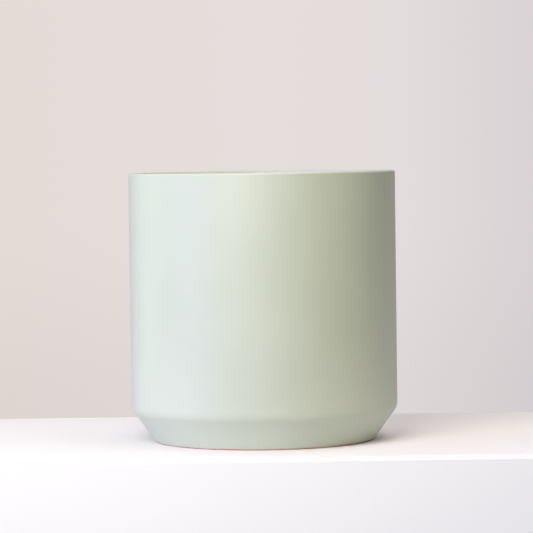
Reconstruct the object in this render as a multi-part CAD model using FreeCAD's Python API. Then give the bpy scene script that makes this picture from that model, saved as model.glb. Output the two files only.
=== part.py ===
import FreeCAD, Part

import math
import os

# A plain cylindrical pot for standing brushes in. One fired terracotta body carries two
# fused coats of glaze: one outside, from just above the foot up over the rim, and one
# inside, from the rim down over the floor. Nothing on it moves.
#
# Frame: the pot stands on the plane Z = 0 with its axis along +Z and the origin at the
# middle of its foot. Every piece is a ring-shaped outline turned once about that axis.
# All sizes are in millimetres and are measured over the glaze unless they say otherwise.

outer_diameter = 150.0
overall_height = 151.0

wall_thickness = 6.0           # clay and both coats, the same on the wall and the bevel
floor_thickness = 6.5          # from the underside recess up to the glazed floor
rim_round = 1.2                # both edges of the flat-topped rim

bevel_height = 18.4            # the wall turns into the bevel this far above the table
bevel_width = 13.4             # how far the bevel draws the base in, measured level
shoulder_round = 8.0           # outside, where the wall turns into the bevel
inner_shoulder_round = 12.0
floor_corner_round = 7.0

glaze_thickness = 0.4
glaze_line_height = 0.5        # the clay is left bare below this, so the foot shows

foot_ring_width = 8.0          # from the sharp outer corner to the sharp inner corner
foot_edge_round = 0.5
foot_recess_depth = 2.5
foot_recess_draft = 1.6        # how far the recess narrows from its mouth to its roof
foot_recess_round = 1.6
foot_inner_edge_round = 0.7

outer_radius = outer_diameter / 2
inner_radius = outer_radius - wall_thickness
rim_middle_radius = outer_radius - wall_thickness / 2
floor_height = foot_recess_depth + floor_thickness
bevel_angle = math.atan2(bevel_width, bevel_height)


def bevel_radius_at(height, depth):
    """Radius, at a height, of the surface that lies this deep under the bevel's face."""
    drop = bevel_height - height
    return outer_radius - (drop * math.sin(bevel_angle) + depth) / math.cos(bevel_angle)


def bevel_height_at(radius, depth):
    """Height, at a radius, of the surface that lies this deep under the bevel's face."""
    inward = outer_radius - radius
    return bevel_height - (inward * math.cos(bevel_angle) - depth) / math.sin(bevel_angle)


def outside_corners(depth):
    """Shoulder and outer rim edge of the outside, this deep under the glaze's face."""
    radius = outer_radius - depth
    return [
        (radius, bevel_height_at(radius, depth), shoulder_round - depth),
        (radius, overall_height - depth, rim_round - depth),
    ]


def inside_corners(depth):
    """Inner rim edge, inner shoulder and floor corner, this deep under the glaze's face."""
    radius = inner_radius + depth
    below_bevel = wall_thickness - depth
    floor = floor_height - depth
    return [
        (radius, overall_height - depth, rim_round - depth),
        (radius, bevel_height_at(radius, below_bevel), inner_shoulder_round + depth),
        (bevel_radius_at(floor, below_bevel), floor, floor_corner_round + depth),
    ]


def underside_corners():
    """Bare clay from the middle of the recess out to the foot's outer edge."""
    foot_radius = bevel_radius_at(0, glaze_thickness)
    mouth_radius = foot_radius - foot_ring_width
    return [
        (0, foot_recess_depth, 0),
        (mouth_radius - foot_recess_draft, foot_recess_depth, foot_recess_round),
        (mouth_radius, 0, foot_inner_edge_round),
        (foot_radius, 0, foot_edge_round),
    ]


def turned_solid(corners):
    """Solid turned from a closed outline of (radius, height, rounding) corners."""
    points = [FreeCAD.Vector(radius, 0, height) for radius, height, rounding in corners]
    edges = []
    arcs = []
    for index, point in enumerate(points):
        rounding = corners[index][2]
        back = (points[index - 1] - point).normalize()
        ahead = (points[(index + 1) % len(points)] - point).normalize()
        half_turn = back.getAngle(ahead) / 2
        setback = rounding / math.tan(half_turn)
        middle = (back + ahead).normalize() * (rounding / math.sin(half_turn) - rounding)
        arcs.append((point + back * setback, point + middle, point + ahead * setback))
    for index, (start, middle, end) in enumerate(arcs):
        edges.append(Part.LineSegment(arcs[index - 1][2], start).toShape())
        if corners[index][2] > 0:
            edges.append(Part.Arc(start, middle, end).toShape())
    outline = Part.Face(Part.Wire(edges))
    return outline.revolve(FreeCAD.Vector(0, 0, 0), FreeCAD.Vector(0, 0, 1), 360)


def terracotta_body():
    """Fired clay: foot ring, recessed underside, floor, bevel, wall and rim in one piece."""
    under_glaze = outside_corners(glaze_thickness) + inside_corners(glaze_thickness)
    floor_middle = [(0, floor_height - glaze_thickness, 0)]
    return turned_solid(underside_corners() + under_glaze + floor_middle)


def outer_glaze():
    """Coat from the glaze line up the bevel and wall and over the outer half of the rim."""
    glaze_face = [
        (bevel_radius_at(glaze_line_height, 0), glaze_line_height, 0),
        *outside_corners(0),
        (rim_middle_radius, overall_height, 0),
    ]
    clay_face = [
        (bevel_radius_at(glaze_line_height, glaze_thickness), glaze_line_height, 0),
        *outside_corners(glaze_thickness),
        (rim_middle_radius, overall_height - glaze_thickness, 0),
    ]
    return turned_solid(glaze_face + clay_face[::-1])


def inner_glaze():
    """Coat from the inner half of the rim down the wall and across the floor."""
    glaze_face = [
        (rim_middle_radius, overall_height, 0),
        *inside_corners(0),
        (0, floor_height, 0),
    ]
    clay_face = [
        (rim_middle_radius, overall_height - glaze_thickness, 0),
        *inside_corners(glaze_thickness),
        (0, floor_height - glaze_thickness, 0),
    ]
    return turned_solid(glaze_face + clay_face[::-1])


os.makedirs("parts", exist_ok=True)
for piece in (terracotta_body, outer_glaze, inner_glaze):
    piece().exportStep("parts/%s.step" % piece.__name__)
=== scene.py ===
import math

import bmesh
import bpy
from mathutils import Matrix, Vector, noise


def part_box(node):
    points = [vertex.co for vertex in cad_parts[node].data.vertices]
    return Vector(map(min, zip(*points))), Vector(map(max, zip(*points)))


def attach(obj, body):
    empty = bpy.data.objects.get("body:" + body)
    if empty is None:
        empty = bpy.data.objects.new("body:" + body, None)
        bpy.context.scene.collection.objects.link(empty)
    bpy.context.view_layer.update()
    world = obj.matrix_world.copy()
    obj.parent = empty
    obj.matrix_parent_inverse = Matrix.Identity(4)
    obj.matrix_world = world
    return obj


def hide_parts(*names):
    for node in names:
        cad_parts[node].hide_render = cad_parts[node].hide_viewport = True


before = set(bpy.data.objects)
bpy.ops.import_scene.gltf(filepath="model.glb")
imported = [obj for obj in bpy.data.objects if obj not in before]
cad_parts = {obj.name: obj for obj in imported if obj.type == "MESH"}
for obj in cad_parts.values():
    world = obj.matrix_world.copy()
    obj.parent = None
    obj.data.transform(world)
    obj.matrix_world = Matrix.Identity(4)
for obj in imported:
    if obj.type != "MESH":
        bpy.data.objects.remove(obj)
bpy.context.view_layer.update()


# ---- Fired terracotta body ---------------------------------------------------------------
# One moulded pot of red clay: foot ring, trimmed recess, floor, bevel, wall and rim.
# It is bare only on the underside and on the thin edge of the foot under the glaze line;
# glaze hides the rest.

MM = 0.001

body_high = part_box("terracotta_body")[1]
coat_low, coat_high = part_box("outer_glaze")
lining_low, lining_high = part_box("inner_glaze")

outer_radius = coat_high.x
rim_height = coat_high.z
coat = rim_height - body_high.z
rim_middle_radius = lining_high.x
wall = 2 * (outer_radius - rim_middle_radius)
inner_radius = outer_radius - wall
floor_height = lining_low.z + coat
glaze_line = coat_low.z

bevel_height = 18.4 * MM
bevel_width = 13.4 * MM
shoulder_round = 8.0 * MM
inner_shoulder_round = 12.0 * MM
floor_corner_round = 7.0 * MM
rim_round = 1.2 * MM

foot_ring_width = 8.0 * MM
foot_edge_round = 0.5 * MM
foot_inner_edge_round = 0.7 * MM
recess_depth = 2.5 * MM
recess_draft = 1.6 * MM
recess_round = 1.6 * MM

sponged_off = 0.06 * MM        # clay that the sponge takes off the foot's edge, on average
sponging_full = 0.3 * MM       # it fades in from the table up to this height
sponging_top = 1.2 * MM        # and is gone above this one
sponge_strokes = 40
sponge_seed = 3.1

steps_round = 288              # points round the pot
arc_step = math.radians(7)     # the most that one step of a rounded corner turns
least_arc_steps = 4
crease_angle = math.radians(38)
fine_step = 0.5 * MM           # spacing of points along a straight run
plain_step = 1 * MM
broad_step = 4 * MM            # on flat faces out of sight
covered_step = 8 * MM          # on faces that another piece covers

bevel_angle = math.atan2(bevel_width, bevel_height)


def bevel_radius_at(height, depth):
    """Radius, at a height, of the surface this deep under the bevel's face."""
    drop = bevel_height - height
    return outer_radius - (drop * math.sin(bevel_angle) + depth) / math.cos(bevel_angle)


def bevel_height_at(radius, depth):
    """Height, at a radius, of the surface this deep under the bevel's face."""
    inward = outer_radius - radius
    return bevel_height - (inward * math.cos(bevel_angle) - depth) / math.sin(bevel_angle)


def outside_corners(depth, spacing):
    """Shoulder and outer rim edge, this deep under the glaze's face."""
    radius = outer_radius - depth
    return [
        (radius, bevel_height_at(radius, depth), shoulder_round - depth, spacing),
        (radius, rim_height - depth, rim_round - depth, plain_step),
    ]


def inside_corners(depth, spacing):
    """Inner rim edge, inner shoulder and floor corner, this deep under the glaze's face."""
    radius = inner_radius + depth
    below = wall - depth
    floor = floor_height - depth
    return [
        (radius, rim_height - depth, rim_round - depth, spacing),
        (radius, bevel_height_at(radius, below), inner_shoulder_round + depth, spacing),
        (bevel_radius_at(floor, below), floor, floor_corner_round + depth, spacing),
    ]


def outline_points(corners):
    """Points along a closed outline of (radius, height, rounding, spacing) corners.

    Each corner is rounded by an arc. Its spacing is that of the points on the run after it.
    """
    spots = [Vector((radius, height)) for radius, height, _, _ in corners]
    bends = []
    for index, spot in enumerate(spots):
        rounding = corners[index][2]
        if rounding <= 0:
            bends.append([spot])
            continue
        back = (spots[index - 1] - spot).normalized()
        ahead = (spots[(index + 1) % len(spots)] - spot).normalized()
        half = back.angle(ahead) / 2
        centre = spot + (back + ahead).normalized() * (rounding / math.sin(half))
        start = spot + back * (rounding / math.tan(half)) - centre
        end = spot + ahead * (rounding / math.tan(half)) - centre
        turn = start.angle_signed(end)
        count = max(least_arc_steps, math.ceil(abs(turn) / arc_step))
        bends.append([
            centre + Vector((
                start.x * math.cos(turn * k / count) + start.y * math.sin(turn * k / count),
                start.y * math.cos(turn * k / count) - start.x * math.sin(turn * k / count),
            ))
            for k in range(count + 1)
        ])
    points = []
    for index, bend in enumerate(bends):
        points += bend
        gap = bends[(index + 1) % len(bends)][0] - bend[-1]
        cuts = max(1, round(gap.length / corners[index][3]))
        points += [bend[-1] + gap * (k / cuts) for k in range(1, cuts)]
    return points


def turned_piece(name, corners, shaped):
    """Object turned from a closed outline, each of its points then moved by shaped()."""
    verts, rings, faces = [], [], []
    for radius, height in outline_points(corners):
        count = steps_round if radius > 0 else 1
        rings.append(range(len(verts), len(verts) + count))
        for step in range(count):
            angle = math.tau * step / steps_round
            verts.append(shaped(radius, angle, height))
    for ring, after in zip(rings, rings[1:] + rings[:1]):
        if len(ring) == len(after) == 1:
            continue
        for step in range(steps_round):
            ahead = (step + 1) % steps_round
            loop = (
                ring[step % len(ring)], ring[ahead % len(ring)],
                after[ahead % len(after)], after[step % len(after)],
            )
            faces.append(tuple(dict.fromkeys(loop)))
    mesh = bpy.data.meshes.new(name)
    mesh.from_pydata(verts, [], faces)
    mesh.shade_smooth()
    mesh.set_sharp_from_angle(angle=crease_angle)
    piece = bpy.data.objects.new(name, mesh)
    bpy.context.scene.collection.objects.link(piece)
    return piece


def point_at(radius, angle, height):
    """Point at a radius, an angle round the axis and a height."""
    return radius * math.cos(angle), radius * math.sin(angle), height


def wander(angle, waves, seed):
    """Smooth unevenness, about -1 to 1, with roughly this many waves round the pot."""
    reach = waves / math.tau
    return 2 * noise.noise((math.cos(angle) * reach, math.sin(angle) * reach, seed))


def sponged_foot(radius, angle, height):
    """The sponged foot edge is not quite true; the flat that it stands on stays flat."""
    if radius > foot_mouth_radius:
        strength = min(1, height / sponging_full) * max(0, 1 - height / sponging_top)
        radius -= sponged_off * strength * (1 + wander(angle, sponge_strokes, sponge_seed))
    return point_at(radius, angle, height)


foot_radius = bevel_radius_at(0, coat)
foot_mouth_radius = foot_radius - foot_ring_width
clay = turned_piece(
    "fired_clay_pot",
    [
        (0, recess_depth, 0, broad_step),
        (foot_mouth_radius - recess_draft, recess_depth, recess_round, fine_step),
        (foot_mouth_radius, 0, foot_inner_edge_round, plain_step),
        (foot_radius, 0, foot_edge_round, fine_step),
        *outside_corners(coat, covered_step),
        *inside_corners(coat, covered_step),
        (0, floor_height - coat, 0, plain_step),
    ],
    sponged_foot,
)


def new_group(name, inputs, outputs):
    """Empty shader group with named float inputs (name: default) and typed outputs."""
    group = bpy.data.node_groups.new(name, "ShaderNodeTree")
    for label, default in inputs.items():
        socket = group.interface.new_socket(label, in_out="INPUT", socket_type="NodeSocketFloat")
        socket.default_value = default
    for label, kind in outputs.items():
        group.interface.new_socket(label, in_out="OUTPUT", socket_type=kind)
    return group, group.nodes.new("NodeGroupInput"), group.nodes.new("NodeGroupOutput")


def add_node(tree, kind, inputs=None, **settings):
    """New node with its settings, its inputs linked to sockets or set to plain values."""
    node = tree.nodes.new(kind)
    for name, value in settings.items():
        setattr(node, name, value)
    for name, value in (inputs or {}).items():
        if isinstance(value, bpy.types.NodeSocket):
            tree.links.new(value, node.inputs[name])
        else:
            node.inputs[name].default_value = value
    return node


def mix_colours(tree, factor, first, second):
    """Colour that goes from the first to the second as the factor goes from 0 to 1."""
    # A Mix node's sockets for colours are its inputs 6 and 7 and its output 2.
    node = add_node(tree, "ShaderNodeMix", {0: factor, 6: first, 7: second}, data_type="RGBA")
    return node.outputs[2]


def arithmetic(tree, operation, first, second):
    """Result of one step of arithmetic."""
    return add_node(tree, "ShaderNodeMath", {0: first, 1: second}, operation=operation).outputs[0]


def smooth_range(tree, value, low, high, to_low=0, to_high=1):
    """Value carried from one range to another, smoothly and clamped."""
    return add_node(
        tree, "ShaderNodeMapRange",
        {"Value": value, "From Min": low, "From Max": high, "To Min": to_low, "To Max": to_high},
        interpolation_type="SMOOTHSTEP",
    ).outputs[0]


# Kiln mottle: the cloudy unevenness, grain and fine specks of a fired or painted surface.
kiln_mottle, given, result = new_group(
    "kiln mottle",
    {"Cloud Scale": 30, "Grain Scale": 900, "Speck Scale": 500, "Speck Size": 0.1},
    {"Cloud": "NodeSocketFloat", "Grain": "NodeSocketFloat", "Specks": "NodeSocketFloat"},
)
where = add_node(kiln_mottle, "ShaderNodeTexCoord").outputs["Object"]
cloud = add_node(kiln_mottle, "ShaderNodeTexNoise",
                 {"Vector": where, "Scale": given.outputs["Cloud Scale"], "Detail": 4})
grain = add_node(kiln_mottle, "ShaderNodeTexNoise",
                 {"Vector": where, "Scale": given.outputs["Grain Scale"], "Detail": 3})
cells = add_node(kiln_mottle, "ShaderNodeTexVoronoi",
                 {"Vector": where, "Scale": given.outputs["Speck Scale"]})
specks = arithmetic(kiln_mottle, "LESS_THAN",
                    cells.outputs["Distance"], given.outputs["Speck Size"])
kiln_mottle.links.new(cloud.outputs["Fac"], result.inputs["Cloud"])
kiln_mottle.links.new(grain.outputs["Fac"], result.inputs["Grain"])
kiln_mottle.links.new(specks, result.inputs["Specks"])


def new_material(name):
    """Node material holding one Principled BSDF, its tree and that shader."""
    material = bpy.data.materials.new(name)
    material.use_nodes = True
    tree = material.node_tree
    return material, tree, tree.nodes["Principled BSDF"]


def add_group(tree, group, values):
    """A node group placed in a material with its own values."""
    return add_node(tree, "ShaderNodeGroup", values, node_tree=group)


brick_red = (0.76, 0.25, 0.175, 1)
rose_red = (0.87, 0.38, 0.29, 1)
iron_brown = (0.48, 0.16, 0.10, 1)
grog_buff = (0.72, 0.50, 0.38, 1)
most_brown = 0.5
grog_strength = 0.45

terracotta, tree, skin = new_material("bare terracotta")
mottle = add_group(tree, kiln_mottle, {
    "Cloud Scale": 55, "Grain Scale": 1400, "Speck Scale": 650, "Speck Size": 0.16,
})
warm = mix_colours(tree, mottle.outputs["Cloud"], brick_red, rose_red)
browned = smooth_range(tree, mottle.outputs["Grain"], low=0.35, high=0.7, to_high=most_brown)
grainy = mix_colours(tree, browned, warm, iron_brown)
grog = arithmetic(tree, "MULTIPLY", mottle.outputs["Specks"], grog_strength)
tree.links.new(mix_colours(tree, grog, grainy, grog_buff), skin.inputs["Base Color"])
skin.inputs["Roughness"].default_value = 0.92
skin.inputs["Specular IOR Level"].default_value = 0.25
relief = arithmetic(tree, "ADD", mottle.outputs["Grain"], mottle.outputs["Specks"])
bump = add_node(tree, "ShaderNodeBump", {"Height": relief, "Strength": 0.35, "Distance": 0.2 * MM})
tree.links.new(bump.outputs["Normal"], skin.inputs["Normal"])

clay.data.materials.append(terracotta)
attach(clay, "root")
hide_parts("terracotta_body")


# ---- Outer glaze --------------------------------------------------------------------------
# A satin-matt sage coat, sprayed on in the round and wiped off the foot before firing.
# It ends in a fine bead just above the table, and runs over the outer half of the rim.

ring_zone = 9 * MM                 # the rim tool's rings fade out over this depth
ring_depth = 0.035 * MM            # how far the rings lie inside the wall's full radius
ring_swing = 0.5                   # low enough that no ring reaches that radius
ring_wave = 0.21 * MM              # rings lie two pi times this apart
finer_ring_wave = 0.137 * MM
finer_ring_share = 0.7
finer_ring_start = 1.3             # radians

bead_round = 0.18 * MM
bead_inner_round = 0.6 * bead_round
bead_zone = 4.5 * MM               # points lie closer here than on the rest of the bevel
line_waver = 0.06 * MM             # how far the glaze line wavers upwards, on average
line_zone = 1.0 * MM               # and how far up the bevel the waver dies out
line_waves = 34
line_seed = 7.7
wiped_higher = 0.14 * MM           # the sponge wiped one side this much higher
wiped_towards = math.radians(-25)
wiped_sharpness = 3                # the higher this is, the shorter that stretch

bead_step = 0.4 * MM
ring_step = 0.16 * MM
turn_step = 0.6 * MM
wall_step = 2.5 * MM


def turning_rings(height):
    """Fine rings that the rim tool leaves, fading out below the rim."""
    away = (rim_height - height) / ring_zone
    if away >= 1:
        return 0
    broad = math.sin(height / ring_wave)
    finer = math.sin(height / finer_ring_wave + finer_ring_start)
    return (1 - away) ** 2 * (broad + finer_ring_share * finer)


def sprayed(radius, angle, height):
    """Tool rings below the rim, and a glaze line that wavers a little."""
    if radius > outer_radius - 0.5 * coat and rim_height - height > rim_round:
        radius -= ring_depth * (1 + ring_swing * turning_rings(height))
    near_line = max(0, 1 - (height - glaze_line) / line_zone)
    if near_line > 0:
        this_side = 0.5 + 0.5 * math.cos(angle - wiped_towards)
        lift = wiped_higher * this_side ** wiped_sharpness
        height += near_line * (lift + line_waver * (1 + wander(angle, line_waves, line_seed)))
    return point_at(radius, angle, height)


bead_top = glaze_line + bead_zone
outer_coat = turned_piece(
    "sage_outer_coat",
    [
        (bevel_radius_at(glaze_line, 0), glaze_line, bead_round, bead_step),
        (bevel_radius_at(bead_top, 0), bead_top, 0, plain_step),
        (outer_radius, bevel_height, shoulder_round, wall_step),
        (outer_radius, rim_height - ring_zone, 0, ring_step),
        (outer_radius, rim_height, rim_round, turn_step),
        (rim_middle_radius, rim_height, 0, bead_step),
        (rim_middle_radius, rim_height - coat, 0, turn_step),
        *outside_corners(coat, covered_step)[::-1],
        (bevel_radius_at(glaze_line, coat), glaze_line, bead_inner_round, bead_step),
    ],
    sprayed,
)

sage_deep = (0.492, 0.540, 0.448, 1)
sage_pale = (0.544, 0.587, 0.495, 1)
fleck_ochre = (0.40, 0.37, 0.26, 1)
sage_pooled = (0.40, 0.47, 0.36, 1)
fleck_strength = 0.10
pool_height = 9 * MM
glossiest = 0.38                   # roughness
dullest = 0.48


def sage_glaze(name, pooled):
    """Satin sage glaze; pooled is how much it has darkened where it gathers low down."""
    material, tree, skin = new_material(name)
    mottle = add_group(tree, kiln_mottle, {
        "Cloud Scale": 24, "Grain Scale": 1100, "Speck Scale": 420, "Speck Size": 0.07,
    })
    tone = mix_colours(tree, mottle.outputs["Cloud"], sage_deep, sage_pale)
    flecks = arithmetic(tree, "MULTIPLY", mottle.outputs["Specks"], fleck_strength)
    flecked = mix_colours(tree, flecks, tone, fleck_ochre)
    position = add_node(tree, "ShaderNodeNewGeometry").outputs["Position"]
    height = add_node(tree, "ShaderNodeSeparateXYZ", {0: position}).outputs["Z"]
    pool = smooth_range(tree, height, low=floor_height, high=floor_height + pool_height,
                        to_low=pooled, to_high=0)
    tree.links.new(mix_colours(tree, pool, flecked, sage_pooled), skin.inputs["Base Color"])
    satin = smooth_range(tree, mottle.outputs["Cloud"], low=0.3, high=0.7,
                         to_low=glossiest, to_high=dullest)
    tree.links.new(satin, skin.inputs["Roughness"])
    bump = add_node(tree, "ShaderNodeBump",
                    {"Height": mottle.outputs["Grain"], "Strength": 0.06, "Distance": 0.1 * MM})
    tree.links.new(bump.outputs["Normal"], skin.inputs["Normal"])
    return material


outer_coat.data.materials.append(sage_glaze("sage glaze outside", 0))
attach(outer_coat, "root")
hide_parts("outer_glaze")


# ---- Inner glaze --------------------------------------------------------------------------
# The same sage glaze, poured into the pot and out again. It covers the inner half of the
# rim, the wall and the floor, and gathers a little deeper in colour in the floor's corner.

press_ring_depth = 0.03 * MM
press_ring_wave = 0.62 * MM        # rings lie two pi times this apart
press_rings_from = floor_height + 8 * MM
press_rings_to = rim_height - 6 * MM
lining_pooled = 0.5


def poured(radius, angle, height):
    """The wall inside keeps broad, shallow rings from the tool that pressed it."""
    if press_rings_from < height < press_rings_to:
        radius += press_ring_depth * (1 + math.sin(height / press_ring_wave))
    return point_at(radius, angle, height)


lining = turned_piece(
    "sage_inner_coat",
    [
        (rim_middle_radius, rim_height, 0, turn_step),
        *inside_corners(0, plain_step),
        (0, floor_height, 0, plain_step),
        (0, floor_height - coat, 0, broad_step),
        *inside_corners(coat, covered_step)[::-1],
        (rim_middle_radius, rim_height - coat, 0, bead_step),
    ],
    poured,
)
lining.data.materials.append(sage_glaze("sage glaze inside", lining_pooled))
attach(lining, "root")
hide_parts("inner_glaze")


# ---- Shelf, light and camera ---------------------------------------------------------------
# A plain painted shelf in front of a pale wall: a cool window and a side window on the left,
# a warm softbox near the viewer, a ceiling lamp over the right, and a faint glow from the room.

shelf_back = 1.95 * outer_radius
shelf_front = -1.32 * outer_radius
shelf_half_length = 3.0
shelf_thickness = 0.25
shelf_edge_round = 2.2 * MM

slab = bmesh.new()
bmesh.ops.create_cube(slab, size=1)
for vert in slab.verts:
    vert.co = (
        math.copysign(shelf_half_length, vert.co.x),
        shelf_back if vert.co.y > 0 else shelf_front,
        0 if vert.co.z > 0 else -shelf_thickness,
    )
bmesh.ops.bevel(slab, geom=slab.edges[:], offset=shelf_edge_round, segments=4, affect="EDGES")
shelf_mesh = bpy.data.meshes.new("shelf")
slab.to_mesh(shelf_mesh)
slab.free()
shelf = bpy.data.objects.new("shelf", shelf_mesh)
bpy.context.scene.collection.objects.link(shelf)

white_deep = (0.85, 0.842, 0.850, 1)
white_pale = (0.89, 0.880, 0.892, 1)
paint, tree, skin = new_material("white shelf paint")
mottle = add_group(tree, kiln_mottle, {"Cloud Scale": 6, "Grain Scale": 500})
tone = mix_colours(tree, mottle.outputs["Cloud"], white_deep, white_pale)
tree.links.new(tone, skin.inputs["Base Color"])
skin.inputs["Roughness"].default_value = 0.7
skin.inputs["Specular IOR Level"].default_value = 0.2
shelf.data.materials.append(paint)


def soft_light(name, azimuth, elevation, distance, size, power, colour):
    """Square area light aimed at the pot; azimuth 0 is the viewer's side, minus is left."""
    lamp = bpy.data.lights.new(name, "AREA")
    lamp.size = size
    lamp.energy = power
    lamp.color = colour
    light = bpy.data.objects.new(name, lamp)
    light.visible_camera = False
    turn = math.radians(azimuth)
    rise = math.radians(elevation)
    aim = Vector((0, 0, rim_height / 2))
    light.location = aim + distance * Vector((
        math.sin(turn) * math.cos(rise), -math.cos(turn) * math.cos(rise), math.sin(rise),
    ))
    light.rotation_euler = (light.location - aim).to_track_quat("Z", "Y").to_euler()
    bpy.context.scene.collection.objects.link(light)


soft_light("window", azimuth=-61, elevation=12, distance=5.0, size=3.0, power=154,
           colour=(0.345, 0.395, 1.0))
soft_light("softbox", azimuth=-20, elevation=27, distance=0.9, size=0.55, power=8.9,
           colour=(1.0, 0.955, 0.83))
soft_light("side window", azimuth=-114, elevation=8, distance=5.0, size=3.0, power=55,
           colour=(0.89, 1.0, 0.78))
soft_light("ceiling lamp", azimuth=65, elevation=68, distance=5.0, size=4.3, power=96,
           colour=(1.0, 0.885, 0.845))

# The room's own light: pale from above and behind, dim from below, and none in between. The
# far wall shows in the glaze's gloss. The backdrop that only the camera sees has painted light
# and shade: lightest in the middle, darker to the right, and painted shade low down above the
# shelf. In each direction that light comes from, Y is 1 straight behind the pot and Z is 1
# straight above.
black = (0, 0, 0, 1)
overhead_glow = (0.775, 0.730, 0.745, 1)
floor_glow = (0.267, 0.284, 0.223, 1)
wall_reflection = (0.47, 0.43, 0.42, 1)
# Backdrop tones with painted light and shade: lightest in the middle, darker to the right.
wall_left = (0.776, 0.704, 0.676, 1)
wall_middle = (0.791, 0.730, 0.715, 1)
wall_right_of_middle = (0.765, 0.715, 0.715, 1)
wall_right = (0.693, 0.642, 0.660, 1)
wall_width = 0.2                   # of the distance to it, which is about the whole view
painted_backdrop_shade = 0.06              # painted shade on the backdrop, low down just above the shelf

world = bpy.data.worlds.new("pale room")
world.use_nodes = True
bpy.context.scene.world = world
tree = world.node_tree
light_path = add_node(tree, "ShaderNodeLightPath")
facing = add_node(tree, "ShaderNodeTexCoord").outputs["Generated"]
direction = add_node(tree, "ShaderNodeSeparateXYZ", {0: facing})
behind = smooth_range(tree, direction.outputs["Y"], low=-0.12, high=0.20)
above = smooth_range(tree, direction.outputs["Z"], low=0.12, high=0.40)
overhead = arithmetic(tree, "MULTIPLY", above, behind)
below = smooth_range(tree, direction.outputs["Z"], low=-0.06, high=0.02, to_low=1, to_high=0)
lower = mix_colours(tree, below, black, floor_glow)
room = mix_colours(tree, overhead, lower, overhead_glow)
far_wall = smooth_range(tree, direction.outputs["Y"], low=0.35, high=0.75)
mirrored = arithmetic(tree, "MULTIPLY", far_wall, light_path.outputs["Is Glossy Ray"])
glow = tree.nodes["Background"]
tree.links.new(mix_colours(tree, mirrored, room, wall_reflection), glow.inputs["Color"])
across = add_node(tree, "ShaderNodeMath", {0: direction.outputs["X"], 1: 1 / wall_width, 2: 0.5},
                  operation="MULTIPLY_ADD", use_clamp=True)
backdrop_light_and_shade = add_node(tree, "ShaderNodeValToRGB", {0: across.outputs[0]})
stops = backdrop_light_and_shade.color_ramp.elements
stops[0].color = wall_left
stops[1].color = wall_right
stops.new(0.5).color = wall_middle
stops.new(0.75).color = wall_right_of_middle
# Painted shade on the backdrop, low down just above the shelf.
dimmed = smooth_range(tree, direction.outputs["Z"], low=-0.10, high=-0.02,
                      to_low=painted_backdrop_shade, to_high=0)
painted = mix_colours(tree, dimmed, backdrop_light_and_shade.outputs[0], black)
backdrop = add_node(tree, "ShaderNodeBackground", {"Color": painted})
seen = light_path.outputs["Is Camera Ray"]
blend = add_node(tree, "ShaderNodeMixShader", {0: seen, 1: glow.outputs[0], 2: backdrop.outputs[0]})
tree.links.new(blend.outputs[0], tree.nodes["World Output"].inputs[0])

camera_distance = 21.5 * outer_radius
camera_height = 2.18 * outer_radius
camera_looks_down = 2.342          # degrees, as are the next two
camera_leans = 0.76
camera_turns = -0.105

camera_data = bpy.data.cameras.new("camera")
camera_data.sensor_width = 36
camera_data.lens = 193.35
camera = bpy.data.objects.new("camera", camera_data)
camera.location = (0, -camera_distance, camera_height)
camera.rotation_mode = "XYZ"
camera.rotation_euler = (
    math.radians(90 - camera_looks_down), math.radians(camera_leans), math.radians(camera_turns),
)
bpy.context.scene.collection.objects.link(camera)
bpy.context.scene.camera = camera
bpy.context.scene.view_settings.view_transform = "Standard"
